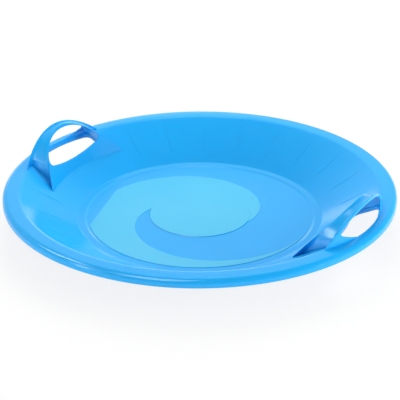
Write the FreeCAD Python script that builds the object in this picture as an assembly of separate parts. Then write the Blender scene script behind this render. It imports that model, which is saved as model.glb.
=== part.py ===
"""Saucer sled: a round moulded dish with a hooded handle over each of two hand holes.

The origin is on the ground under the centre of the dish, +Z is up and the handles stand on the X axis.
"""
import FreeCAD, Part
import math
import os

from FreeCAD import Vector

# Dish, in millimetres
sled_diameter = 600.0
rim_height = 54.0
rim_width = 25.5
rim_edge_radius = 8.0
lip_drop = 12.0
wall_thickness = 2.5
wall_run = 86.5
wall_foot_radius = 12.0
wall_top_radius = 14.0

# Floor relief
step_ring_margin = 14.0
step_ring_rise = 1.5
step_ring_run = 4.0
step_ring_rounding = 1.2
disc_diameter = 156.0
disc_rise = 1.0
swirl_rise = 0.5
swirl_border = 2.0
swirl_outer_start_angle = 10.0
swirl_outer_sweep_angle = 217.0
swirl_outer_sharpness = 1.27
swirl_inner_start_angle = 198.5
swirl_inner_sweep_angle = 175.0
swirl_inner_sharpness = 1.6
swirl_cut_angle = 196.0
swirl_cut_distance = 152.0

# Hand holes
hole_rim_margin = 17.0
hole_clearance = 1.5
hole_inner_rounding = 12.0
hole_outer_rounding = 12.0
collar_thickness = 2.5
collar_depth = 9.0

# Hooded handles, with heights above the rim
handle_span = 194.0
handle_rise = 41.0
handle_rim_margin = 22.5
handle_apex_width = 14.0
handle_foot_reach = 45.5
flange_thickness = 3.0
web_thickness = 2.5
grip_depth = 41.0
grip_flare = 0.33
grip_inner_width = 140.0
grip_inner_top = 36.0
grip_inner_level = 2.0
grip_inner_sill = -10.0
grip_inner_sill_radius = 190.0
grip_inner_rounding = 6.0
grip_outer_width = 146.0
grip_outer_top = 35.0
grip_outer_level = 15.0
grip_outer_sill = -4.0
grip_outer_sill_radius = 140.0
grip_outer_rounding = 3.0

# Stiffening ribs
rib_pitch_angle = 15.0
rib_thickness = 2.0
rib_toe_margin = 17.0
rib_toe_depth = 2.0
rib_lip_margin = 1.5

# Values worked out from the driving dimensions
sled_radius = sled_diameter / 2
wall_top = sled_radius - rim_width
wall_foot = wall_top - wall_run
step_ring_radius = wall_foot - step_ring_margin
floor_top = wall_thickness
ring_top = floor_top + step_ring_rise
lip_bottom = rim_height - lip_drop
wall_slope = (rim_height - ring_top) / (wall_top - wall_foot)
below_ground = -rim_height
handle_top = rim_height + handle_rise
hole_rim_radius = sled_radius - hole_rim_margin
hole_bottom = lip_bottom / 3
grip_inner_distance = hole_rim_radius - grip_depth
handle_outer_radius = sled_radius - handle_rim_margin
handle_foot_radius = wall_top - handle_foot_reach
hole_inner_radius = handle_foot_radius + flange_thickness + hole_clearance
rib_inner_radius = wall_foot + rib_toe_margin
outer_flange_start = math.sqrt((handle_outer_radius - flange_thickness) ** 2 - (grip_outer_width / 2) ** 2)
up = Vector(0, 0, 1)
origin = Vector(0, 0, 0)


def wall_height(radius):
    """Height of the wall's upper face at a radius on its straight stretch."""
    return ring_top + (radius - wall_foot) * wall_slope


def dish_corners():
    """Corners of the dish's upper profile from the axis out, each with its rounding."""
    return [
        (0.0, floor_top, 0.0),
        (step_ring_radius, floor_top, step_ring_rounding),
        (step_ring_radius + step_ring_run, ring_top, step_ring_rounding),
        (wall_foot, ring_top, wall_foot_radius),
        (wall_top, rim_height, wall_top_radius),
        (sled_radius, rim_height, rim_edge_radius),
        (sled_radius, lip_bottom, 0.0),
    ]


def direction(start, end):
    """Unit direction in the profile's plane from one corner to the next."""
    run, rise = end[0] - start[0], end[1] - start[1]
    length = math.hypot(run, rise)
    return run / length, rise / length


def lowered(corners, distance):
    """Corners of the same profile moved to its lower side by a wall's thickness."""
    result = []
    last = len(corners) - 1
    for index, (radius, height, rounding) in enumerate(corners):
        before = direction(corners[max(index - 1, 0)], corners[max(index, 1)])
        after = direction(corners[min(index, last - 1)], corners[min(index + 1, last)])
        turn = before[0] * after[1] - before[1] * after[0]
        share = distance / (1 + before[0] * after[0] + before[1] * after[1])
        moved_rounding = max(rounding + math.copysign(distance, turn), 0.0) if rounding else 0.0
        result.append((
            radius + (before[1] + after[1]) * share,
            height - (before[0] + after[0]) * share,
            moved_rounding,
        ))
    return result


def rounded_edges(corners):
    """Straight and round edges through the corners, in the XZ plane."""
    edges = []
    position = Vector(corners[0][0], 0, corners[0][1])
    for index in range(1, len(corners)):
        radius, height, rounding = corners[index]
        corner = Vector(radius, 0, height)
        if rounding == 0.0 or index == len(corners) - 1:
            edges.append(Part.LineSegment(position, corner).toShape())
            position = corner
            continue
        before = direction(corners[index - 1], corners[index])
        after = direction(corners[index], corners[index + 1])
        half_turn = math.acos(before[0] * after[0] + before[1] * after[1]) / 2
        reach = rounding * math.tan(half_turn)
        bulge = rounding / math.cos(half_turn) - rounding
        inward = Vector(after[0] - before[0], 0, after[1] - before[1]).normalize()
        arc_start = corner - Vector(before[0], 0, before[1]) * reach
        arc_end = corner + Vector(after[0], 0, after[1]) * reach
        edges.append(Part.LineSegment(position, arc_start).toShape())
        edges.append(Part.Arc(arc_start, corner + inward * bulge, arc_end).toShape())
        position = arc_end
    return edges


def closed_by(edges, corners):
    """Wire of the edges closed by straight lines through further corners."""
    points = [edges[-1].Vertexes[-1].Point]
    points += [Vector(radius, 0, height) for radius, height in corners]
    points.append(edges[0].Vertexes[0].Point)
    lines = [Part.LineSegment(a, b).toShape() for a, b in zip(points, points[1:])]
    return Part.Wire(edges + lines)


def turned(wire):
    """Solid of revolution of a profile about the sled's axis."""
    return Part.Face(wire).revolve(origin, up, 360)


def plain_shell():
    """Floor, wall and rolled rim, all of one wall thickness."""
    upper = rounded_edges(dish_corners())
    lower = rounded_edges(lowered(dish_corners(), wall_thickness))
    lip_end = Part.LineSegment(upper[-1].Vertexes[-1].Point, lower[-1].Vertexes[-1].Point).toShape()
    axis_end = Part.LineSegment(lower[0].Vertexes[0].Point, upper[0].Vertexes[0].Point).toShape()
    return turned(Part.Wire(upper + [lip_end] + lower[::-1] + [axis_end]))


def space_below_shell():
    """Everything under the dish's upper face, down past the ground."""
    corners = [(sled_radius, below_ground), (0.0, below_ground)]
    return turned(closed_by(rounded_edges(dish_corners()), corners))


def across_grip(inner, outer, x):
    """Value at one distance from the axis, from its values at the grip's inner and outer ends."""
    return inner + (outer - inner) * (x - grip_inner_distance) / grip_depth


def grip_section(x, margin):
    """Outline of the space under the web at one distance from the axis: an arch on flared sides."""
    half_width = across_grip(grip_inner_width, grip_outer_width, x) / 2 + margin
    level = rim_height + across_grip(grip_inner_level, grip_outer_level, x)
    top = rim_height + across_grip(grip_inner_top, grip_outer_top, x) + margin
    ground = half_width + grip_flare * level
    corners = [
        Vector(x, half_width, level),
        Vector(x, ground, 0),
        Vector(x, -ground, 0),
        Vector(x, -half_width, level),
    ]
    arch = Part.Arc(corners[-1], Vector(x, 0, top), corners[0]).toShape()
    return Part.Wire([arch] + [Part.LineSegment(a, b).toShape() for a, b in zip(corners, corners[1:])])


def grip_tunnel(margin):
    """Space for the hand, from the ground up to the web over the grip, widened by a margin."""
    return Part.makeLoft([grip_section(x, margin) for x in (wall_foot, sled_radius)], True, True)


def upright_edges(prism, x):
    """The two upright edges of a prism that are nearest to a distance from the axis."""
    upright = [edge for edge in prism.Edges if edge.BoundBox.ZLength > rim_height / 2]
    return sorted(upright, key=lambda edge: abs(edge.CenterOfMass.x - x))[:2]


def flange_x(offset, height):
    """Outer face of the outer flange, which leans out to stand on the rim beside the hand hole."""
    top = handle_top - handle_rise * (2 * offset / handle_span) ** 2
    lean = (hole_rim_radius + flange_thickness - handle_outer_radius) / handle_rise
    return math.sqrt(handle_outer_radius ** 2 - offset ** 2) + lean * (top - height)


def hole_rim_arc():
    """Radius of the hole's rim side, which follows the foot of the flange's inner face."""
    half_width = grip_outer_width / 2
    depth = flange_x(0.0, rim_height) - flange_x(half_width, rim_height)
    return (half_width ** 2 + depth ** 2) / (2 * depth)


def hole_prism(margin):
    """The hand's space between the hood's inner plate and the rim, with rounded corners."""
    depth = rim_height - hole_bottom
    arc = hole_rim_arc()
    centre = Vector(hole_rim_radius - arc, 0, hole_bottom)
    rim_side = Part.makeCylinder(arc + margin, depth, centre).rotated(centre, up, 180)
    inner_side = Part.makeCylinder(hole_inner_radius - margin, depth, up * hole_bottom).rotated(origin, up, 180)
    prism = grip_tunnel(margin).common(rim_side).cut(inner_side)
    prism = prism.makeFillet(hole_outer_rounding + margin, upright_edges(prism, sled_radius))
    return prism.makeFillet(hole_inner_rounding + margin, upright_edges(prism, wall_foot))


def hole_collar(space_below):
    """Lip turned down round a hand hole, of one depth below the dish's upper face."""
    ring = hole_prism(collar_thickness).cut(hole_prism(0.0))
    return ring.common(space_below).cut(space_below.translated(Vector(0, 0, -collar_depth)))


def swirl_edge(start_angle, sweep_angle, sharpness):
    """Curve that winds from the centre disc out to the step ring."""
    inner_radius = disc_diameter / 2
    outer_radius = step_ring_radius - swirl_border
    points = []
    count = 13
    for index in range(count):
        share = index / (count - 1)
        radius = inner_radius + (outer_radius - inner_radius) * (1 - (1 - share) ** sharpness)
        angle = math.radians(start_angle + sweep_angle * share)
        points.append(Vector(radius * math.cos(angle), radius * math.sin(angle), floor_top))
    curve = Part.BSplineCurve()
    curve.interpolate(points)
    return curve.toShape()


def arc_between(radius, start_angle, end_angle):
    """Arc on the floor about the sled's axis."""
    points = []
    for angle in (start_angle, (start_angle + end_angle) / 2, end_angle):
        turn = math.radians(angle)
        points.append(Vector(radius * math.cos(turn), radius * math.sin(turn), floor_top))
    return Part.Arc(*points).toShape()


def floor_swirl():
    """The raised arm of the two-armed swirl round the centre disc, cut off straight at its tail."""
    outer_end = swirl_outer_start_angle + swirl_outer_sweep_angle
    inner_end = swirl_inner_start_angle + swirl_inner_sweep_angle
    outline = Part.Wire([
        swirl_edge(swirl_outer_start_angle, swirl_outer_sweep_angle, swirl_outer_sharpness),
        arc_between(step_ring_radius - swirl_border, outer_end, inner_end),
        swirl_edge(swirl_inner_start_angle, swirl_inner_sweep_angle, swirl_inner_sharpness),
        arc_between(disc_diameter / 2, swirl_inner_start_angle, swirl_outer_start_angle),
    ])
    arm = Part.Face(outline).extrude(up * swirl_rise)
    beyond = Part.makeBox(
        sled_radius, sled_diameter, swirl_rise, Vector(swirl_cut_distance, -sled_radius, floor_top))
    return arm.cut(beyond.rotated(origin, up, swirl_cut_angle))


def centre_disc():
    """Raised disc in the middle of the floor."""
    return Part.makeCylinder(disc_diameter / 2, disc_rise, Vector(0, 0, floor_top))


def both_ends(shape):
    """The shape and its copy on the other side of the sled."""
    return [shape, shape.rotated(origin, up, 180)]


def dish(space_below):
    """The whole moulded dish with its hand holes."""
    shell = plain_shell().fuse([floor_swirl(), centre_disc()])
    shell = shell.cut(both_ends(hole_prism(0.0)))
    return shell.fuse(both_ends(hole_collar(space_below))).removeSplitter().Solids[0]


def handle_edges(offset):
    """Upper inner and outer corners of a handle's section, at an offset from its middle."""
    half_span = handle_span / 2
    foot_outer = math.sqrt(handle_outer_radius ** 2 - half_span ** 2)
    foot_inner = math.sqrt(handle_foot_radius ** 2 - half_span ** 2)
    share = (offset / half_span) ** 2
    width = handle_apex_width + (foot_outer - foot_inner - handle_apex_width) * share
    inner_z = handle_top - (handle_top - wall_height(handle_foot_radius)) * share
    outer_z = handle_top - handle_rise * share
    outer_x = flange_x(offset, outer_z)
    return (outer_x - width, inner_z), (outer_x, outer_z)


def hood_ground_line(offset):
    """Where the leaning inner face, carried on down through the wall, comes to the ground."""
    apex_x = handle_edges(0.0)[0][0]
    foot_z = wall_height(handle_foot_radius)
    lean = (apex_x - handle_foot_radius) / (handle_top - foot_z)
    return math.sqrt((handle_foot_radius - lean * foot_z) ** 2 - offset ** 2)


def handle_loft(section):
    """Solid through sections of a handle from beyond one foot to beyond the other."""
    stations = 13
    overrun = 1.05
    wires = []
    for index in range(stations):
        offset = overrun * handle_span / 2 * (2 * index / (stations - 1) - 1)
        points = [Vector(x, offset, z) for x, z in section(offset)]
        wires.append(Part.makePolygon(points + points[:1]))
    return Part.makeLoft(wires, True, False)


def block_section(offset):
    """The handle's full depth, from the ground up to its two upper edges."""
    inner, outer = handle_edges(offset)
    return [(hood_ground_line(offset), 0.0), (flange_x(offset, 0.0), 0.0), outer, inner]


def channel_section(offset):
    """The space between the hood's inner plate and the outer flange, open above."""
    (inner_x, inner_z), (outer_x, outer_z) = handle_edges(offset)
    inner_ground = hood_ground_line(offset) + flange_thickness
    above = web_thickness
    return [
        (inner_ground, 0.0),
        (flange_x(offset, 0.0) - flange_thickness, 0.0),
        (outer_x - flange_thickness, outer_z + above),
        (inner_x + flange_thickness, inner_z + above),
    ]


def grip_opening(start_x, end_x, sill_level, sill_radius, rounding):
    """Opening through one side of the handle: the hand's space above a round sill."""
    length = end_x - start_x
    centre = Vector(start_x, 0, rim_height + sill_level + sill_radius)
    sill = Part.makeCylinder(sill_radius, length, centre, Vector(1, 0, 0))
    shape = grip_tunnel(0.0).common(sill)
    along = [edge for edge in shape.Edges if edge.BoundBox.XLength > length / 2]
    corners = sorted(along, key=lambda edge: abs(edge.CenterOfMass.y))[-2:]
    return shape.makeFillet(rounding, corners)


def handle(space_below):
    """Hood with its leaning inner plate, outer flange and the web between them over the grip."""
    web = grip_tunnel(web_thickness).cut(grip_tunnel(0.0))
    hollow = handle_loft(channel_section).cut(web)
    inner_opening = grip_opening(
        wall_foot, outer_flange_start, grip_inner_sill, grip_inner_sill_radius, grip_inner_rounding)
    outer_opening = grip_opening(
        outer_flange_start, sled_radius, grip_outer_sill, grip_outer_sill_radius, grip_outer_rounding)
    hood = handle_loft(block_section).cut([hollow, inner_opening, outer_opening, space_below])
    return max(hood.Solids, key=lambda solid: solid.Volume)


def rib_blank():
    """Upright fin under the wall and the rim, before the dish is cut from it."""
    lower = lowered(dish_corners(), wall_thickness)
    toe = wall_height(rib_inner_radius) - wall_thickness * math.hypot(1, wall_slope) - rib_toe_depth
    heel_radius = lower[-1][0] + wall_thickness / 2
    corners = [
        Vector(rib_inner_radius, 0, toe),
        Vector(heel_radius, 0, lip_bottom + rib_lip_margin),
        Vector(heel_radius, 0, rim_height),
        Vector(rib_inner_radius, 0, rim_height),
    ]
    face = Part.Face(Part.makePolygon(corners + corners[:1]))
    face.translate(Vector(0, -rib_thickness / 2, 0))
    return face.extrude(Vector(0, rib_thickness, 0))


def rim_ribs(space_below, finished_dish):
    """Ribs all round, left out where a handle's feet and hand hole are."""
    blank = rib_blank()
    ribs = []
    for index in range(round(360 / rib_pitch_angle)):
        angle = index * rib_pitch_angle
        if rib_inner_radius * abs(math.sin(math.radians(angle))) > handle_span / 2:
            rib = blank.rotated(origin, up, angle)
            ribs.append(rib.common(space_below).cut(finished_dish).Solids[0])
    return Part.makeCompound(ribs)


def main():
    os.makedirs("parts", exist_ok=True)
    space_below = space_below_shell()
    finished_dish = dish(space_below)
    right_handle = handle(space_below)
    nodes = {
        "dish": finished_dish,
        "right_handle": right_handle,
        "left_handle": right_handle.rotated(origin, up, 180),
        "rim_ribs": rim_ribs(space_below, finished_dish),
    }
    for name, shape in nodes.items():
        shape.exportStep(f"parts/{name}.step")
        print(name, len(shape.Solids), shape.isValid(), round(shape.Volume), shape.BoundBox)


main()
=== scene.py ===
"""Saucer sled: its moulded dish, hooded handles and ribs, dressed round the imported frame."""
import math

import bmesh
import bpy
from mathutils import Matrix, Vector


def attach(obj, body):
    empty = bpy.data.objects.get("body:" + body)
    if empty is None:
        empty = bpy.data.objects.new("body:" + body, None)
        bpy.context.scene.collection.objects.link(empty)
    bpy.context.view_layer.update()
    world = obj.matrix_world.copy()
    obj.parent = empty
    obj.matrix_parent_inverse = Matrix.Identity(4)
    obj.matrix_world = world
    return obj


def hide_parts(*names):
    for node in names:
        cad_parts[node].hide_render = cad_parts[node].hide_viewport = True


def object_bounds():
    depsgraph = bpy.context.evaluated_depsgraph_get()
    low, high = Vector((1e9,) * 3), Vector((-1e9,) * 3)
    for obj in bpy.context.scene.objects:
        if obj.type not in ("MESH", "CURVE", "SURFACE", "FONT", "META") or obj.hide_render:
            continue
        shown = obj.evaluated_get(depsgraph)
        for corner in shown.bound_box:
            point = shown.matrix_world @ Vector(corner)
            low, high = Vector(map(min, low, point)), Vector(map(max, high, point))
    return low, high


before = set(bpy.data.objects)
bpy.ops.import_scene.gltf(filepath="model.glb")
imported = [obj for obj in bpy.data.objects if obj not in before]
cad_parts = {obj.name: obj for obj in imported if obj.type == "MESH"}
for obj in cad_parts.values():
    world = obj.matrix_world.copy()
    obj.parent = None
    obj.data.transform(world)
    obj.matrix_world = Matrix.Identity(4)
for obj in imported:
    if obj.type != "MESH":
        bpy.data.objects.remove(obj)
cad_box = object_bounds()

bl_info = {
    "name": "Saucer Sled",
    "version": (1, 0, 0),
    "blender": (4, 5, 0),
    "location": "View3D > Sidebar > Saucer Sled",
    "description": "Models a round moulded snow saucer with two hooded handles",
    "category": "Object",
}

MM = 0.001
BODY = "root"
MERGE = 1e-6
PLACE_DIGITS = 6

# How finely the shapes are divided and shaded
RING_STEPS = 288
ARC_STEPS = 20
EDGE_STEPS = 6
SINK_STEPS = 8
LONGEST = 12 * MM
LONGEST_AT_HANDLES = 2 * MM
WIDE_FACE = RING_STEPS / 4
DISH_SMOOTHING = math.radians(32)
HANDLE_SMOOTHING = math.radians(80)
RIB_SMOOTHING = math.radians(30)

# Small distances and shares within the shapes
SWIRL_STEP = 0.3 * MM
CLOSE = SWIRL_STEP / 4
CUT_COSINE = 0.5
ARC_SHARE = 0.66
HOLE_LOW = 12 * MM
HOLE_OVER = 6 * MM
EDGE_TURN = math.radians(80)
COLLAR_REACH = 30 * MM
COLLAR_RIM_GAP = 1 * MM
COLLAR_HEAD = 0.4 * MM
SINK_SHARE = 0.75
SINK_TOE_RUN = 10 * MM
SINK_END_RUN = 20 * MM
MATT_UPWARD = 0.3
ROOT_TOUCH = 0.25 * MM
RIB_HEAD_GAP = 2 * MM

# Scales and heights of the finishes' noise
PLASTIC_IOR = 1.5
FLOW_SCALE = 7.0
TURNING_ROUND = 1.2
TURNING_OUT = 500.0
TURNING_HEIGHT = 0.0012 * MM
SCUFF_SCALE = 26.0
PEEL_SCALE = 300.0
PEEL_HEIGHT = 0.004 * MM
GRAIN_SCALE = 1400.0
GRAIN_HEIGHT = 0.02 * MM
CLOUD_SCALE = 9.0

# The studio
BRIGHT_SIDE = (-0.972, 0.234, 0.0)
FLOOR_SIZE = 12.0
FLOOR_GAP = 0.8 * MM
FLOOR_GLOW = 0.85
DOME_STRENGTH = 0.60
PHOTO_SIZE = 400


def length(name, description, default_mm):
    """A length property whose default is given in millimetres."""
    return bpy.props.FloatProperty(
        name=name, description=description, default=default_mm * MM,
        subtype="DISTANCE", unit="LENGTH", precision=5)


def angle(name, description, default_degrees):
    """An angle property whose default is given in degrees."""
    return bpy.props.FloatProperty(
        name=name, description=description, default=math.radians(default_degrees), subtype="ANGLE")


def ratio(name, description, default):
    """A plain number property."""
    return bpy.props.FloatProperty(name=name, description=description, default=default)


def colour(name, description, default):
    """A colour property with its linear default."""
    return bpy.props.FloatVectorProperty(
        name=name, description=description, default=default,
        size=3, min=0.0, max=1.0, subtype="COLOR")


class SledDishSettings(bpy.types.PropertyGroup):
    """Sizes of the moulded dish."""

    rim_radius: length("Rim radius", "Radius of the rim's outer edge", cad_box[1].y / MM)
    rim_height: length("Rim height", "Height of the rim above the ground", 54.0)
    rim_width: length("Rim width", "Flat width of the rim", 25.5)
    rim_rounding: length("Rim rounding", "Radius of the rim's outer edge rounding", 8.0)
    lip_drop: length("Lip drop", "How far the rim's lip turns down", 12.0)
    wall: length("Wall", "Thickness of the moulding", 2.5)
    wall_run: length("Wall run", "Level distance from the wall's foot to the rim", 86.5)
    foot_rounding: length("Foot rounding", "Radius where the wall meets the floor", 5.0)
    top_rounding: length("Top rounding", "Radius where the wall meets the rim", 14.0)
    ring_margin: length("Ring margin", "Distance of the floor's step from the wall's foot", 14.0)
    ring_rise: length("Ring rise", "Height of the floor's step", 1.5)
    ring_run: length("Ring run", "Width of the floor's step", 4.0)
    ring_rounding: length("Ring rounding", "Radius of the step's edges", 1.2)
    disc_radius: length("Disc radius", "Radius of the raised disc", 78.0)
    disc_rise: length("Disc rise", "Height of the raised disc", 1.0)
    swirl_rise: length("Swirl rise", "Height of the swirl's raised arm", 0.5)
    swirl_border: length("Swirl border", "Bare strip between the swirl and the step", 2.0)
    arm_start: angle("Arm start", "Where the raised arm's outer edge leaves the disc", 10.0)
    arm_sweep: angle("Arm sweep", "How far the raised arm's outer edge winds", 217.0)
    arm_sharpness: ratio(
        "Arm sharpness", "How soon the raised arm's outer edge leaves the disc", 1.27)
    valley_start: angle("Valley start", "Where the raised arm's inner edge leaves the disc", 198.5)
    valley_sweep: angle("Valley sweep", "How far the raised arm's inner edge winds", 175.0)
    valley_sharpness: ratio(
        "Valley sharpness", "How soon the raised arm's inner edge leaves the disc", 1.6)
    cut_angle: angle("Cut angle", "Direction of the straight cut at the raised arm's tail", 196.0)
    cut_distance: length("Cut distance", "Distance of that cut from the sled's axis", 152.0)
    hole_margin: length("Hole margin", "Distance of a hand hole from the rim's outer edge", 17.0)
    hole_inner: length(
        "Hole inner", "Distance of a hand hole's inner side from the sled's axis", 233.5)
    hole_rim_arc: length("Hole rim arc", "Radius of a hand hole's rim side", 190.0)
    hole_inner_half: length(
        "Hole inner half", "Half of a hand hole's width at its inner side", 74.5)
    hole_outer_half: length("Hole outer half", "Half of a hand hole's width at its rim side", 75.3)
    hole_rounding: length("Hole rounding", "Radius of a hand hole's corners", 12.0)
    hole_flare: ratio(
        "Hole flare", "How much a hand hole's ends widen for each length downwards", 0.33)
    hole_edge: length("Hole edge", "Rounding of a hand hole's upper edge", 2.5)
    collar: length("Collar", "Thickness of the lip round a hand hole", 2.5)
    collar_depth: length("Collar depth", "Depth of the lip round a hand hole", 9.0)


class SledHandleSettings(bpy.types.PropertyGroup):
    """How the hooded handles are finished."""

    grain: length("Grain", "Size of the faces that the moulded skin is made of", 0.7)
    rooting: length("Rooting", "How far a handle's foot reaches into the dish", 1.0)
    hollow: length("Hollow", "Rounding in the corners between web, plate and flange", 2.5)
    softening: bpy.props.IntProperty(
        name="Softening", description="Rounds of smoothing that soften the edges",
        default=20, min=0)


class SledRibSettings(bpy.types.PropertyGroup):
    """Sizes of the stiffening ribs."""

    pitch: angle("Pitch", "Angle from one rib to the next", 15.0)
    thickness: length("Thickness", "Thickness of a rib", 2.0)
    toe_margin: length("Toe margin", "Distance of a rib's toe from the wall's foot", 17.0)
    toe_depth: length("Toe depth", "Depth of a rib's toe below the wall", 2.0)
    lip_margin: length("Lip margin", "Distance of a rib above the lip's edge", 1.5)
    clear_width: length("Clear width", "Half of the width without ribs at a handle", 97.0)
    edge: length("Edge", "Rounding of a rib's edges", 0.4)
    sink: length("Sink", "Depth of the sink line that a rib leaves in the wall's upper face", 0.60)
    sink_half: length("Sink half", "Half of the width of the strip in which a sink line lies", 2.0)
    sink_end: length("Sink end", "Radius at which the sink lines run out", 266.0)


class SledFinishSettings(bpy.types.PropertyGroup):
    """Colours of the moulded plastic, the matt ones paler with painted sheen."""

    gloss: colour("Gloss", "Colour of the polished plastic", (0.009, 0.405, 0.890))
    gloss_deep: colour(
        "Gloss deep", "Colour of the polished plastic where it flowed thicker",
        (0.008, 0.392, 0.878))
    # The matt colours are paler and greyer than the gloss: the plastic's blue with painted sheen of
    # the matt skin.
    matt: colour("Matt", "Colour of the finely matt plastic", (0.050, 0.505, 0.785))
    matt_sheen_deep: colour("Matt deep", "Colour in the matt plastic's grain", (0.044, 0.490, 0.775))
    floor: colour("Floor", "Colour of the studio floor", (0.90, 0.90, 0.90))


class SledSettings(bpy.types.PropertyGroup):
    """Everything that a user would change."""

    dish: bpy.props.PointerProperty(type=SledDishSettings)
    handle: bpy.props.PointerProperty(type=SledHandleSettings)
    rib: bpy.props.PointerProperty(type=SledRibSettings)
    finish: bpy.props.PointerProperty(type=SledFinishSettings)


# Plain modelling helpers

def only(obj):
    """Select one object alone and make it the active one."""
    bpy.ops.object.select_all(action="DESELECT")
    obj.select_set(True)
    bpy.context.view_layer.objects.active = obj


def modified(obj, kind, **settings):
    """Give the object a modifier with these settings and apply it."""
    only(obj)
    modifier = obj.modifiers.new(kind.lower(), kind)
    for key, value in settings.items():
        setattr(modifier, key, value)
    bpy.ops.object.modifier_apply(modifier=modifier.name)


def settled(obj):
    """Put the mesh's corners and faces in an order that is the same each run."""
    mesh = obj.data
    places = [tuple(round(value, PLACE_DIGITS) for value in vertex.co) for vertex in mesh.vertices]
    order = sorted(range(len(places)), key=places.__getitem__)
    rank = {old: new for new, old in enumerate(order)}
    corners = [mesh.vertices[index].co.copy() for index in order]
    faces = []
    for face in mesh.polygons:
        ring = [rank[index] for index in face.vertices]
        first = ring.index(min(ring))
        faces.append(ring[first:] + ring[:first])
    mesh.clear_geometry()
    mesh.from_pydata(corners, [], sorted(faces))


def combined(obj, tool, operation):
    """Join, cut or keep the shared space of two closed shapes, and use up the second."""
    modified(obj, "BOOLEAN", operation=operation, object=tool, solver="EXACT")
    bpy.data.objects.remove(tool)
    settled(obj)


def outline(name, points):
    """Closed loop of edges through the points, started from a circle."""
    bpy.ops.object.select_all(action="DESELECT")
    bpy.ops.mesh.primitive_circle_add(vertices=len(points), radius=1.0, fill_type="NOTHING")
    obj = bpy.context.object
    obj.name = name
    for vertex, point in zip(obj.data.vertices, points):
        vertex.co = point
    return obj


def facing_out():
    """Turn all faces of the mesh being edited outwards."""
    bpy.ops.mesh.select_all(action="SELECT")
    bpy.ops.mesh.normals_make_consistent(inside=False)


def spun(name, points, steps):
    """Closed profile in the XZ plane, spun once round the sled's axis."""
    obj = outline(name, [Vector((radius, 0, height)) for radius, height in points])
    bpy.ops.object.mode_set(mode="EDIT")
    bpy.ops.mesh.select_all(action="SELECT")
    bpy.ops.mesh.spin(steps=steps, angle=math.tau, center=(0, 0, 0), axis=(0, 0, 1))
    bpy.ops.mesh.select_all(action="SELECT")
    bpy.ops.mesh.remove_doubles(threshold=MERGE)
    bpy.ops.mesh.delete_loose()
    facing_out()
    bpy.ops.object.mode_set(mode="OBJECT")
    settled(obj)
    return obj


def raised(name, points, move):
    """Flat outline extruded into a closed block, left in edit mode with its end face selected."""
    obj = outline(name, points)
    bpy.ops.object.mode_set(mode="EDIT")
    bpy.ops.mesh.select_all(action="SELECT")
    bpy.ops.mesh.edge_face_add()
    bpy.ops.mesh.extrude_region_move(TRANSFORM_OT_translate={"value": move})
    return obj


def direction(start, end):
    """Unit direction from one flat corner to the next."""
    step = Vector((end[0] - start[0], end[1] - start[1]))
    return step.normalized()


def rounded(corners, closed=False, turn_step=math.radians(7.5)):
    """Points through flat corners, each corner given as two places and its rounding."""
    points = []
    count = len(corners)
    for index, (x, y, radius) in enumerate(corners):
        corner = Vector((x, y))
        if not radius or (not closed and index in (0, count - 1)):
            points.append(corner)
            continue
        before = direction(corners[index - 1], corners[index])
        after = direction(corners[index], corners[(index + 1) % count])
        half_turn = math.acos(max(-1.0, min(1.0, before.dot(after)))) / 2
        inward = (after - before).normalized()
        centre = corner + inward * (radius / math.cos(half_turn))
        start = corner - before * radius * math.tan(half_turn) - centre
        side = 1.0 if before.x * after.y - before.y * after.x > 0 else -1.0
        steps = max(2, math.ceil(2 * half_turn / turn_step))
        for step in range(steps + 1):
            points.append(centre + Matrix.Rotation(side * 2 * half_turn * step / steps, 2) @ start)
    return points


def lowered(corners, distance):
    """Corners of a profile moved to its lower side by a distance."""
    result = []
    last = len(corners) - 1
    for index, (radius, height, rounding) in enumerate(corners):
        before = direction(corners[max(index - 1, 0)], corners[max(index, 1)])
        after = direction(corners[min(index, last - 1)], corners[min(index + 1, last)])
        turn = before.x * after.y - before.y * after.x
        share = distance / (1 + before.dot(after))
        moved = max(rounding + math.copysign(distance, turn), 0.0) if rounding else 0.0
        out, down = (before.y + after.y) * share, (before.x + after.x) * share
        result.append((radius + out, height - down, moved))
    return result


def divided(points, longest):
    """The same line with no stretch longer than a given length."""
    result = [points[0]]
    for start, end in zip(points, points[1:]):
        steps = max(1, math.ceil((end - start).length / longest))
        result += [start.lerp(end, step / steps) for step in range(1, steps + 1)]
    return result


def height_at(points, radius):
    """Height of a profile at a radius, between its points."""
    for start, end in zip(points, points[1:]):
        if start.x <= radius <= end.x and end.x > start.x:
            return start.y + (end.y - start.y) * (radius - start.x) / (end.x - start.x)
    return points[-1].y


def finished(obj, name, nodes, materials, smooth_angle):
    """Name, shade and dress a piece, and give it its place in the frame."""
    obj.name = name
    obj.data.name = name
    only(obj)
    bpy.ops.object.shade_smooth_by_angle(angle=smooth_angle)
    obj.data.materials.clear()
    for material in materials:
        obj.data.materials.append(material)
    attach(obj, BODY)
    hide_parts(*nodes)


# The dish's own shapes

def wall_foot(dish):
    """Radius at which the wall meets the floor."""
    return dish.rim_radius - dish.rim_width - dish.wall_run


def rib_toe(dish, rib):
    """Radius at which a rib starts."""
    return wall_foot(dish) + rib.toe_margin


def clear_of_handles(dish, rib, turn):
    """Whether a rib in this direction misses both handles."""
    return rib_toe(dish, rib) * abs(math.sin(turn)) > rib.clear_width


def dish_corners(dish):
    """Corners of the dish's upper profile from the axis out, each with its rounding."""
    wall_top = dish.rim_radius - dish.rim_width
    foot = wall_foot(dish)
    ring = foot - dish.ring_margin
    floor_top = dish.wall
    ring_top = floor_top + dish.ring_rise
    return [
        (0.0, floor_top, 0.0),
        (ring, floor_top, dish.ring_rounding),
        (ring + dish.ring_run, ring_top, dish.ring_rounding),
        (foot, ring_top, dish.foot_rounding),
        (wall_top, dish.rim_height, dish.top_rounding),
        (dish.rim_radius, dish.rim_height, dish.rim_rounding),
        (dish.rim_radius, dish.rim_height - dish.lip_drop, 0.0),
    ]


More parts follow.
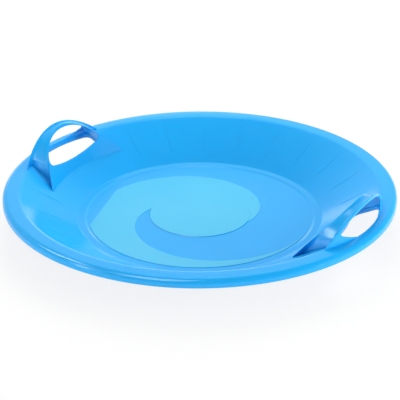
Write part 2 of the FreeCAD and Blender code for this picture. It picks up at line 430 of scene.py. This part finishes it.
def arc_points(centre, radius, half_angle, squeeze):
    """Points of an arc about +X from its left end to its right, squeezed across."""
    points = []
    for step in range(ARC_STEPS + 1):
        turn = half_angle * (1 - 2 * step / ARC_STEPS)
        points.append((centre + radius * math.cos(turn), squeeze * radius * math.sin(turn), 0.0))
    return points


def hole_outline(dish, margin):
    """Rounded outline of a hand hole on the +X side at the rim's height, widened by a margin."""
    inner = dish.hole_inner - margin
    inner_half, outer_half = dish.hole_inner_half + margin, dish.hole_outer_half + margin
    drop = dish.rim_height - height_at(rounded(dish_corners(dish)), inner)
    squeeze = outer_half / (outer_half + dish.hole_flare * drop)
    rim_arc = dish.hole_rim_arc + margin
    rim_centre = dish.rim_radius - dish.hole_margin - dish.hole_rim_arc
    rim_corner = rim_centre + math.sqrt(rim_arc ** 2 - outer_half ** 2)
    inner_corner = math.sqrt(inner ** 2 - inner_half ** 2)
    rounding = dish.hole_rounding + margin
    inner_side = arc_points(0.0, inner, ARC_SHARE * math.asin(inner_half / inner), squeeze)
    rim_side = arc_points(rim_centre, rim_arc, ARC_SHARE * math.asin(outer_half / rim_arc), 1.0)
    corners = [(inner_corner, squeeze * inner_half, rounding)] + inner_side
    corners.append((inner_corner, -squeeze * inner_half, rounding))
    corners.append((rim_corner, -outer_half, rounding))
    corners += rim_side[::-1] + [(rim_corner, outer_half, rounding)]
    return rounded(corners, closed=True)


def hole_block(dish, margin):
    """Block of a hand hole's shape, wider at its foot than at its head."""
    low, high = HOLE_LOW, dish.rim_height + HOLE_OVER
    points = [Vector((point.x, point.y, low)) for point in hole_outline(dish, margin)]
    obj = raised("hole_block", points, (0, 0, high - low))
    half = dish.hole_outer_half
    head = (half - dish.hole_flare * (high - dish.rim_height)) / half
    bpy.ops.transform.resize(value=(1, head, 1), center_override=(0, 0, high))
    bpy.ops.object.mode_set(mode="OBJECT")
    foot = (half + dish.hole_flare * (dish.rim_height - low)) / half
    for vertex in obj.data.vertices:
        if vertex.co.z < low + MERGE:
            vertex.co.y *= foot
    bpy.ops.object.mode_set(mode="EDIT")
    facing_out()
    bpy.ops.object.mode_set(mode="OBJECT")
    return obj


def hole_cutter(dish):
    """Block that cuts a hand hole and rounds the dish's upper face over into it."""
    upper = rounded(dish_corners(dish))
    flat = hole_outline(dish, 0.0)
    low, high = HOLE_LOW, dish.rim_height + HOLE_OVER

    def ring(margin, depth=None):
        """A ring at a margin round the hole, at a depth below the dish's face or at the foot."""
        points = []
        for before, point, after in zip(flat[-1:] + flat, flat, flat[1:] + flat[:1]):
            along = (after - before).normalized()
            spread = dish.rim_height - (low if depth is None else height_at(upper, point.length))
            scale = 1 + dish.hole_flare * spread / dish.hole_outer_half
            place = Vector((point.x, point.y * scale)) + Vector((along.y, -along.x)) * margin
            height = low if depth is None else height_at(upper, place.length) - depth
            points.append(Vector((place.x, place.y, height)))
        return points

    rings = [ring(0.0)]
    for step in range(EDGE_STEPS + 1):
        turn = EDGE_TURN * step / EDGE_STEPS
        margin = dish.hole_edge * (1 - math.cos(turn))
        rings.append(ring(margin, dish.hole_edge * (1 - math.sin(turn))))
    rings.append([Vector((point.x, point.y, high)) for point in rings[-1]])
    mesh = bmesh.new()
    loops = [[mesh.verts.new(point) for point in points] for points in rings]
    for lower, higher in zip(loops, loops[1:]):
        for index in range(len(flat)):
            mesh.faces.new((lower[index - 1], lower[index], higher[index], higher[index - 1]))
    mesh.faces.new(loops[0][::-1])
    mesh.faces.new(loops[-1])
    data = bpy.data.meshes.new("hole_cutter")
    mesh.to_mesh(data)
    mesh.free()
    obj = bpy.data.objects.new("hole_cutter", data)
    bpy.context.collection.objects.link(obj)
    return obj


def turned_copy(obj, turn):
    """A copy of the object with its own mesh, turned round the sled's axis."""
    copy = obj.copy()
    copy.data = obj.data.copy()
    copy.data.transform(Matrix.Rotation(turn, 4, "Z"))
    bpy.context.collection.objects.link(copy)
    return copy


def swirl_bounds(dish):
    """Radii between which the swirl lies: the disc's foot and the border inside the step."""
    border = wall_foot(dish) - dish.ring_margin - dish.swirl_border
    return dish.disc_radius + SWIRL_STEP, border


def relief_corners(dish):
    """The dish's upper corners with the raised disc and the rings that bound the swirl."""
    top = dish.wall + dish.disc_rise
    relief = [(0.0, top, 0.0), (dish.disc_radius - 2 * SWIRL_STEP, top, SWIRL_STEP)]
    relief += [(radius, dish.wall, 0.0) for radius in swirl_bounds(dish)]
    return relief + dish_corners(dish)[1:]


def swirl_radius(dish, turn, start, sweep, sharpness):
    """Where one edge of the swirl is at an angle, between the disc and the border."""
    hub, border = swirl_bounds(dish)
    share = min(1.0, max(0.0, (turn - start) / sweep))
    return hub + (border - hub) * (1 - (1 - share) ** sharpness)


class SLED_OT_dish(bpy.types.Operator):
    """Model the dish with its floor relief, hand holes and collars"""

    bl_idname = "sled.dish"
    bl_label = "Dish"

    def execute(self, context):
        settings = context.scene.saucer_sled
        dish = settings.dish
        shell = self.shell(dish)
        self.lay_swirl(shell, dish)
        self.sink_lines(shell, dish, settings.rib)
        settled(shell)
        for block in self.collars(dish):
            combined(shell, block, "UNION")
        hole = hole_cutter(dish)
        for block in (turned_copy(hole, math.pi), hole):
            combined(shell, block, "DIFFERENCE")
        finishes = [gloss_finish(settings), matt_sheen_finish(settings)]
        finished(shell, "moulded_dish", ["dish"], finishes, DISH_SMOOTHING)
        self.shade_floor(shell, dish)
        return {"FINISHED"}

    def shell(self, dish):
        """Floor, wall and rolled rim spun from one profile of the moulding's thickness."""
        upper = divided(rounded(relief_corners(dish)), LONGEST)
        lower = divided(rounded(lowered(dish_corners(dish), dish.wall)), LONGEST)
        return spun("dish_shell", upper + lower[::-1], RING_STEPS)

    def collars(self, dish):
        """The lips that turn down round the hand holes, before the holes are cut."""
        inner = dish.hole_inner - COLLAR_REACH
        outer = dish.rim_radius - dish.rim_rounding - COLLAR_RIM_GAP
        profile = divided(rounded(dish_corners(dish)), LONGEST)
        upper = [point for point in profile if inner < point.x < outer]
        head = [point - Vector((0, COLLAR_HEAD)) for point in upper]
        foot = [point - Vector((0, dish.collar_depth)) for point in upper]
        ring = spun("collar_ring", head + foot[::-1], RING_STEPS)
        combined(ring, hole_block(dish, dish.collar), "INTERSECT")
        return [ring, turned_copy(ring, math.pi)]

    def lay_swirl(self, shell, dish):
        """Replace the floor round the disc by the swirl's two flat arms, one of them raised."""
        hub, border = swirl_bounds(dish)
        mesh = bmesh.new()
        mesh.from_mesh(shell.data)
        lowest = dish.wall - CLOSE
        upper = [vertex for vertex in mesh.verts if vertex.co.z > lowest]
        between = [vertex for vertex in upper if hub + CLOSE < vertex.co.xy.length < border - CLOSE]
        bmesh.ops.delete(mesh, geom=between, context="VERTS")
        step_angle = math.tau / RING_STEPS
        rings = {hub: {}, border: {}}
        for vertex in mesh.verts:
            for radius in rings:
                if vertex.co.z > lowest and abs(vertex.co.xy.length - radius) < CLOSE:
                    turn = math.atan2(vertex.co.y, vertex.co.x)
                    rings[radius][round(turn / step_angle) % RING_STEPS] = vertex

        def ring(radius, index):
            """Vertex of the disc's foot or of the border, by its place round the axis."""
            return rings[radius][index % RING_STEPS]

        def edge(start, end, radius_at):
            """Vertices of one edge of the swirl, from the disc to the border."""
            line = [ring(hub, start)]
            for index in range(start + 1, end):
                turn = index * step_angle
                radius = radius_at(turn)
                place = (radius * math.cos(turn), radius * math.sin(turn), dish.wall)
                line.append(mesh.verts.new(place))
            return line + [ring(border, end)]

        def arm_edge(turn):
            """Radius of the raised arm's outer edge, with its tail cut straight."""
            to_cut = math.cos(turn - dish.cut_angle)
            cut = dish.cut_distance / to_cut if to_cut > CUT_COSINE else border
            sweep, sharpness = dish.arm_sweep, dish.arm_sharpness
            return min(swirl_radius(dish, turn, dish.arm_start, sweep, sharpness), cut)

        def valley_edge(turn):
            """Radius of the raised arm's inner edge."""
            sweep, sharpness = dish.valley_sweep, dish.valley_sharpness
            return swirl_radius(dish, turn, dish.valley_start, sweep, sharpness)

        arm_start = round(dish.arm_start / step_angle)
        arm_turn = dish.cut_angle + math.acos(dish.cut_distance / border)
        arm_end = round(arm_turn / step_angle)
        valley_start = round(dish.valley_start / step_angle)
        valley_end = round((dish.valley_start + dish.valley_sweep) / step_angle)
        arm = edge(arm_start, arm_end, arm_edge)
        valley = edge(valley_start, valley_end, valley_edge)
        rim = [ring(border, index) for index in range(arm_end + 1, valley_end)]
        low_loop = arm + rim + valley[::-1]
        rise = Vector((0, 0, dish.swirl_rise))
        high_loop = [mesh.verts.new(vertex.co + rise) for vertex in low_loop]
        hub_side = [ring(hub, index) for index in range(valley_start - 1, arm_start, -1)]
        for vertex in hub_side:
            vertex.co += rise
        for low, high, next_low, next_high in zip(low_loop, high_loop, low_loop[1:], high_loop[1:]):
            mesh.faces.new((low, next_low, next_high, high))
        mesh.faces.new((low_loop[0], high_loop[0], hub_side[-1]))
        mesh.faces.new((low_loop[-1], high_loop[-1], hub_side[0]))
        mesh.faces.new(high_loop + hub_side)
        far_hub = [ring(hub, index) for index in range(valley_start, arm_start + RING_STEPS)]
        past_arm = arm_end + RING_STEPS - 1
        far_border = [ring(border, index) for index in range(past_arm, valley_end, -1)]
        mesh.faces.new(far_hub + arm + far_border + valley[:0:-1])
        bmesh.ops.recalc_face_normals(mesh, faces=mesh.faces)
        mesh.to_mesh(shell.data)
        mesh.free()

    def sink_lines(self, shell, dish, rib):
        """Press in the fine lines that the ribs below leave in the wall."""
        upper = rounded(dish_corners(dish))
        start = rib_toe(dish, rib)

        def over_rib(vertex):
            """Radius and distance from the nearest rib's middle, where a sink line may be."""
            radius = vertex.co.xy.length
            if not start - CLOSE < radius < rib.sink_end + CLOSE:
                return None
            if abs(vertex.co.z - height_at(upper, radius)) > dish.wall / 2:
                return None
            turn = math.atan2(vertex.co.y, vertex.co.x)
            nearest = round(turn / rib.pitch) * rib.pitch
            if not clear_of_handles(dish, rib, nearest):
                return None
            return radius, abs(turn - nearest) * radius

        mesh = bmesh.new()
        mesh.from_mesh(shell.data)
        middles = set()
        for vertex in mesh.verts:
            found = over_rib(vertex)
            if found and found[1] < CLOSE:
                middles.add(vertex)
        lines = [edge for edge in mesh.edges if all(vertex in middles for vertex in edge.verts)]
        bmesh.ops.bevel(mesh, geom=lines, offset=rib.sink_half, offset_type="OFFSET",
                        segments=SINK_STEPS, profile=0.5, affect="EDGES")
        for vertex in mesh.verts:
            found = over_rib(vertex)
            if found:
                radius, aside = found
                share = min(1.0, aside / (SINK_SHARE * rib.sink_half))
                to_toe, to_end = radius - start, rib.sink_end - radius
                ends = min(1.0, to_toe / SINK_TOE_RUN, to_end / SINK_END_RUN)
                vertex.co.z -= rib.sink * max(ends, 0.0) * (1 + math.cos(math.pi * share)) / 2
        mesh.to_mesh(shell.data)
        mesh.free()

    def shade_floor(self, shell, dish):
        """Shade wide faces flat, and give the swirl's raised arm and the disc the matt finish with
        its painted sheen.
        """
        lowest = dish.wall + dish.swirl_rise / 2
        reach = wall_foot(dish) - dish.ring_margin - dish.swirl_border / 2
        for face in shell.data.polygons:
            face.use_smooth = len(face.vertices) < WIDE_FACE
            height = min(shell.data.vertices[index].co.z for index in face.vertices)
            if face.normal.z > MATT_UPWARD and height > lowest and face.center.xy.length < reach:
                face.material_index = 1


class SLED_OT_handles(bpy.types.Operator):
    """Model the two hooded handles, with softened edges"""

    bl_idname = "sled.handles"
    bl_label = "Handles"

    def execute(self, context):
        settings = context.scene.saucer_sled
        sizes = settings.handle
        upper = divided(rounded(dish_corners(settings.dish)), LONGEST_AT_HANDLES)
        for node in ("left_handle", "right_handle"):
            handle = bpy.data.objects.new(node + "_hood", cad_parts[node].data.copy())
            context.collection.objects.link(handle)
            self.root(handle, upper, sizes)
            modified(handle, "REMESH", mode="VOXEL", voxel_size=sizes.grain)
            for push in (sizes.hollow, -sizes.hollow):
                modified(handle, "DISPLACE", strength=push, mid_level=0.0)
                modified(handle, "REMESH", mode="VOXEL", voxel_size=sizes.grain)
            modified(handle, "SMOOTH", factor=0.5, iterations=sizes.softening)
            finished(handle, node + "_hood", [node], [gloss_finish(settings)], HANDLE_SMOOTHING)
        return {"FINISHED"}

    def root(self, handle, upper, sizes):
        """Merge the copied shape and let its feet down into the dish."""
        only(handle)
        bpy.ops.object.mode_set(mode="EDIT")
        bpy.ops.mesh.select_all(action="SELECT")
        bpy.ops.mesh.remove_doubles(threshold=MERGE * 10)
        bpy.ops.object.mode_set(mode="OBJECT")
        for vertex in handle.data.vertices:
            level = height_at(upper, vertex.co.xy.length)
            if abs(vertex.co.z - level) < ROOT_TOUCH:
                vertex.co.z -= sizes.rooting


class SLED_OT_ribs(bpy.types.Operator):
    """Model the stiffening ribs under the wall and the rim"""

    bl_idname = "sled.ribs"
    bl_label = "Ribs"

    def execute(self, context):
        settings = context.scene.saucer_sled
        rib = settings.rib
        pattern = self.one_rib(settings.dish, rib)
        turns = [index * rib.pitch for index in range(round(math.tau / rib.pitch))]
        copies = [turned_copy(pattern, turn) for turn in turns
                  if clear_of_handles(settings.dish, rib, turn)]
        bpy.data.objects.remove(pattern)
        bpy.ops.object.select_all(action="DESELECT")
        for copy in copies:
            copy.select_set(True)
        context.view_layer.objects.active = copies[0]
        bpy.ops.object.join()
        finishes = [gloss_finish(settings)]
        finished(copies[0], "stiffening_ribs", ["rim_ribs"], finishes, RIB_SMOOTHING)
        return {"FINISHED"}

    def one_rib(self, dish, rib):
        """One rib along +X, its head let into the dish's wall."""
        corners = dish_corners(dish)
        middle = rounded(lowered(corners, dish.wall / 2))
        under = rounded(lowered(corners, dish.wall))
        toe_radius = rib_toe(dish, rib)
        heel_radius = dish.rim_radius - dish.wall / 2
        lip = dish.rim_height - dish.lip_drop
        toe = (toe_radius, height_at(under, toe_radius) - rib.toe_depth)
        heel = (heel_radius, lip + rib.lip_margin)
        lowest = heel[1] + RIB_HEAD_GAP
        head = [(point.x, point.y) for point in middle
                if toe_radius < point.x < heel_radius and point.y > lowest]
        top_toe = (toe_radius, height_at(middle, toe_radius))
        flat = [toe, heel] + head[::-1] + [top_toe]
        points = [Vector((radius, -rib.thickness / 2, height)) for radius, height in flat]
        obj = raised("rib", points, (0, rib.thickness, 0))
        facing_out()
        bpy.ops.mesh.select_all(action="DESELECT")
        mesh = bmesh.from_edit_mesh(obj.data)
        for edge in mesh.edges:
            if all(vertex.co.z <= max(toe[1], heel[1]) + MERGE for vertex in edge.verts):
                edge.select_set(True)
        bmesh.update_edit_mesh(obj.data)
        bpy.ops.mesh.bevel(offset=rib.edge, segments=2, affect="EDGES")
        bpy.ops.object.mode_set(mode="OBJECT")
        return obj


# Finishes

def adder(tree):
    """A helper that adds linked nodes to a tree."""
    def add(kind, links=None, **settings):
        """A new node with these settings, and with links or values for its inputs."""
        node = tree.nodes.new(kind)
        for key, value in settings.items():
            setattr(node, key, value)
        for socket, value in (links or {}).items():
            if isinstance(value, bpy.types.NodeSocket):
                tree.links.new(value, node.inputs[socket])
            else:
                node.inputs[socket].default_value = value
        return node

    return add


def node_tree(name):
    """A fresh material with its tree and shader, and a helper that adds linked nodes."""
    material = bpy.data.materials.new(name)
    material.use_nodes = True
    tree = material.node_tree
    return material, tree, tree.nodes["Principled BSDF"], adder(tree)


def maths(add, operation, first, second=None, third=None):
    """Result of one arithmetic node."""
    links = {0: first}
    if second is not None:
        links[1] = second
    if third is not None:
        links[2] = third
    return add("ShaderNodeMath", links, operation=operation).outputs[0]


def graded(add, value, low, high, to_low=0.0, to_high=1.0):
    """A value carried smoothly from one range to another."""
    node = add("ShaderNodeMapRange", {0: value, 1: low, 2: high, 3: to_low, 4: to_high})
    node.interpolation_type = "SMOOTHSTEP"
    return node.outputs[0]


def noise(add, place, scale, detail, roughness=0.5):
    """Value of a noise texture."""
    links = {"Vector": place, "Scale": scale, "Detail": detail, "Roughness": roughness}
    return add("ShaderNodeTexNoise", links).outputs[0]


def coloured(add, tree, shader, share, first, second):
    """Blend two colours into the shader's base colour."""
    blend = add("ShaderNodeMix", {0: share}, data_type="RGBA")
    blend.inputs[6].default_value = (*first, 1.0)
    blend.inputs[7].default_value = (*second, 1.0)
    tree.links.new(blend.outputs[2], shader.inputs["Base Color"])


def embossed(add, tree, shader, height):
    """Let a height in metres tilt the shader's normal."""
    bump = add("ShaderNodeBump", {"Height": height, "Distance": 1.0, "Strength": 1.0})
    tree.links.new(bump.outputs[0], shader.inputs["Normal"])


def gloss_finish(settings):
    """Polished sky-blue plastic with flow variation, tool marks and fine scuffs."""
    known = bpy.data.materials.get("gloss_sky_blue")
    if known:
        return known
    material, tree, shader, add = node_tree("gloss_sky_blue")
    place = add("ShaderNodeTexCoord").outputs["Object"]
    split = add("ShaderNodeSeparateXYZ", {0: place})
    x, y = split.outputs[0], split.outputs[1]
    squares = maths(add, "ADD", maths(add, "MULTIPLY", x, x), maths(add, "MULTIPLY", y, y))
    radius = maths(add, "SQRT", squares)
    turn = maths(add, "ARCTAN2", y, x)

    flow = graded(add, noise(add, place, FLOW_SCALE, 3.0), 0.3, 0.7)
    coloured(add, tree, shader, flow, settings.finish.gloss, settings.finish.gloss_deep)

    polar = add("ShaderNodeCombineXYZ", {
        0: maths(add, "MULTIPLY", turn, TURNING_ROUND),
        1: maths(add, "MULTIPLY", radius, TURNING_OUT),
    })
    turning = noise(add, polar.outputs[0], 1.0, 2.0)
    scuffs = noise(add, place, SCUFF_SCALE, 3.0, 0.6)
    scuffed = graded(add, scuffs, 0.5, 0.75, 0.0, 0.05)
    rough = maths(add, "ADD", graded(add, turning, 0.3, 0.7, 0.17, 0.21), scuffed)
    tree.links.new(rough, shader.inputs["Roughness"])

    peel = maths(add, "MULTIPLY", noise(add, place, PEEL_SCALE, 2.0), PEEL_HEIGHT)
    marks = maths(add, "MULTIPLY", turning, TURNING_HEIGHT)
    embossed(add, tree, shader, maths(add, "ADD", peel, marks))
    shader.inputs["IOR"].default_value = PLASTIC_IOR
    return material


def matt_sheen_finish(settings):
    """The same plastic with the fine grain of a blasted tool, and a paler colour that is painted
    sheen.
    """
    material, tree, shader, add = node_tree("matt_sheen_sky_blue")
    place = add("ShaderNodeTexCoord").outputs["Object"]
    grain = noise(add, place, GRAIN_SCALE, 2.0)
    cloud = noise(add, place, CLOUD_SCALE, 3.0)
    mixed = maths(add, "ADD", *(maths(add, "MULTIPLY", value, 0.5) for value in (grain, cloud)))
    share = graded(add, mixed, 0.35, 0.65)
    # Colours paler than the gloss: painted sheen of the matt grain.
    coloured(add, tree, shader, share, settings.finish.matt, settings.finish.matt_sheen_deep)
    tree.links.new(graded(add, mixed, 0.3, 0.7, 0.42, 0.52), shader.inputs["Roughness"])
    embossed(add, tree, shader, maths(add, "MULTIPLY", grain, GRAIN_HEIGHT))
    shader.inputs["IOR"].default_value = PLASTIC_IOR
    return material


# The studio

def plain_rays(add):
    """One where the camera, a reflection or a clear material looks straight at a surface."""
    path = add("ShaderNodeLightPath").outputs
    seen = maths(add, "MAXIMUM", path["Is Camera Ray"], path["Is Glossy Ray"])
    return maths(add, "MAXIMUM", seen, path["Is Transmission Ray"])


class SLED_OT_stage(bpy.types.Operator):
    """Set the pale floor, the soft light and the camera"""

    bl_idname = "sled.stage"
    bl_label = "Stage"

    def execute(self, context):
        self.floor(context.scene.saucer_sled)
        self.surroundings(context.scene)
        self.lights()
        self.camera(context.scene)
        return {"FINISHED"}

    def floor(self, settings):
        """A pale floor that stays white where it is lit and keeps a soft shadow."""
        bpy.ops.object.select_all(action="DESELECT")
        bpy.ops.mesh.primitive_plane_add(size=FLOOR_SIZE, location=(0, 0, -FLOOR_GAP))
        floor = bpy.context.object
        floor.name = "studio_floor"
        material, tree, shader, add = node_tree("pale_floor")
        shader.inputs["Base Color"].default_value = (*settings.finish.floor, 1.0)
        shader.inputs["Roughness"].default_value = 0.9
        shader.inputs["Specular IOR Level"].default_value = 0.0
        glow = add("ShaderNodeEmission", {"Color": (1, 1, 1, 1), "Strength": 1.0})
        share = maths(add, "MULTIPLY", plain_rays(add), FLOOR_GLOW)
        mix = add("ShaderNodeMixShader", {0: share, 1: shader.outputs[0], 2: glow.outputs[0]})
        tree.links.new(mix.outputs[0], tree.nodes["Material Output"].inputs["Surface"])
        floor.data.materials.append(material)

    def surroundings(self, scene):
        """A white backdrop for the camera, a darker ceiling in reflections and an even dome."""
        world = bpy.data.worlds.new("studio")
        scene.world = world
        world.use_nodes = True
        tree = world.node_tree
        add = adder(tree)
        ray = add("ShaderNodeTexCoord").outputs["Generated"]
        height = add("ShaderNodeSeparateXYZ", {0: ray}).outputs[2]
        towards = add("ShaderNodeVectorMath", {0: ray, 1: BRIGHT_SIDE}, operation="DOT_PRODUCT")
        ceiling = graded(add, height, 0.45, 0.85, 0.55, 0.12)
        sides = graded(add, towards.outputs["Value"], -0.5, 0.7, 0.15, 1.0)
        backdrop = maths(add, "MULTIPLY", ceiling, sides)
        seen = maths(add, "MAXIMUM", backdrop, add("ShaderNodeLightPath").outputs["Is Camera Ray"])
        white = (1, 1, 1, 1)
        plain = add("ShaderNodeBackground", {0: white, 1: seen})
        dome = add("ShaderNodeBackground", {0: white, 1: DOME_STRENGTH})
        shaders = {0: plain_rays(add), 1: dome.outputs[0], 2: plain.outputs[0]}
        mix = add("ShaderNodeMixShader", shaders)
        tree.links.new(mix.outputs[0], tree.nodes["World Output"].inputs["Surface"])

    def lights(self):
        """Soft lights that are kept out of reflections, and boxes that are only mirrored."""
        # Name, place, width, height, power in watts, and whether it is only mirrored
        boxes = [
            ("top_light", (-1.00, 1.65, 1.75), 1.6, 1.6, 55.0, False),
            ("fill_light", (-0.60, -2.40, 0.15), 1.8, 0.6, 24.0, False),
            ("side_light", (2.10, 0.60, 0.50), 1.0, 1.0, 30.0, False),
            ("back_strip", (-1.50, 1.55, 0.40), 1.4, 0.5, 3.0, True),
            ("left_strip", (-1.02, -1.72, 0.55), 0.2, 0.9, 4.0, True),
            ("web_box", (-1.04, -1.50, 1.20), 0.5, 0.9, 2.5, True),
            ("line_box", (-1.21, -0.51, 1.35), 0.45, 0.6, 8.0, True),
            ("spark_light", (-0.49, 0.80, 1.77), 0.35, 0.30, 1.0, True),
            ("front_box", (-0.05, -1.24, 1.93), 1.0, 1.2, 22.0, True),
        ]
        for name, place, width, height, power, mirrored in boxes:
            light = bpy.data.lights.new(name, "AREA")
            light.shape = "RECTANGLE"
            light.size = width
            light.size_y = height
            light.energy = power
            lamp = bpy.data.objects.new(name, light)
            lamp.visible_glossy = mirrored
            lamp.visible_diffuse = not mirrored
            lamp.location = place
            lamp.rotation_euler = (-Vector(place)).to_track_quat("-Z", "Y").to_euler()
            bpy.context.collection.objects.link(lamp)

    def camera(self, scene):
        """Camera at the photograph's angle."""
        azimuth, elevation, roll = (math.radians(turn) for turn in (31.5, 25.39, -0.28))
        distance = 2.0
        aim = Vector((0, 0, 0.05163))
        level = math.cos(elevation)
        back = Vector((math.sin(azimuth) * level, -math.cos(azimuth) * level, math.sin(elevation)))
        data = bpy.data.cameras.new("camera")
        data.sensor_width = 36.0
        data.lens = 117.5
        data.shift_x = 0.3 / PHOTO_SIZE
        data.shift_y = -14.9 / PHOTO_SIZE
        camera = bpy.data.objects.new("camera", data)
        turn = back.to_track_quat("Z", "Y").to_matrix().to_4x4() @ Matrix.Rotation(roll, 4, "Z")
        camera.matrix_world = Matrix.Translation(aim + back * distance) @ turn
        bpy.context.collection.objects.link(camera)
        scene.camera = camera
        scene.view_settings.view_transform = "Standard"


class SLED_PT_panel(bpy.types.Panel):
    """The sled's pieces and stage"""

    bl_idname = "SLED_PT_panel"
    bl_label = "Saucer Sled"
    bl_space_type = "VIEW_3D"
    bl_region_type = "UI"
    bl_category = "Saucer Sled"

    def draw(self, context):
        for operator in (SLED_OT_dish, SLED_OT_handles, SLED_OT_ribs, SLED_OT_stage):
            self.layout.operator(operator.bl_idname)


classes = (
    SledDishSettings,
    SledHandleSettings,
    SledRibSettings,
    SledFinishSettings,
    SledSettings,
    SLED_OT_dish,
    SLED_OT_handles,
    SLED_OT_ribs,
    SLED_OT_stage,
    SLED_PT_panel,
)


def register():
    for cls in classes:
        bpy.utils.register_class(cls)
    bpy.types.Scene.saucer_sled = bpy.props.PointerProperty(type=SledSettings)


def unregister():
    del bpy.types.Scene.saucer_sled
    for cls in reversed(classes):
        bpy.utils.unregister_class(cls)


def main():
    register()
    bpy.ops.sled.dish()
    bpy.ops.sled.handles()
    bpy.ops.sled.ribs()
    bpy.ops.sled.stage()


if __name__ == "__main__":
    main()
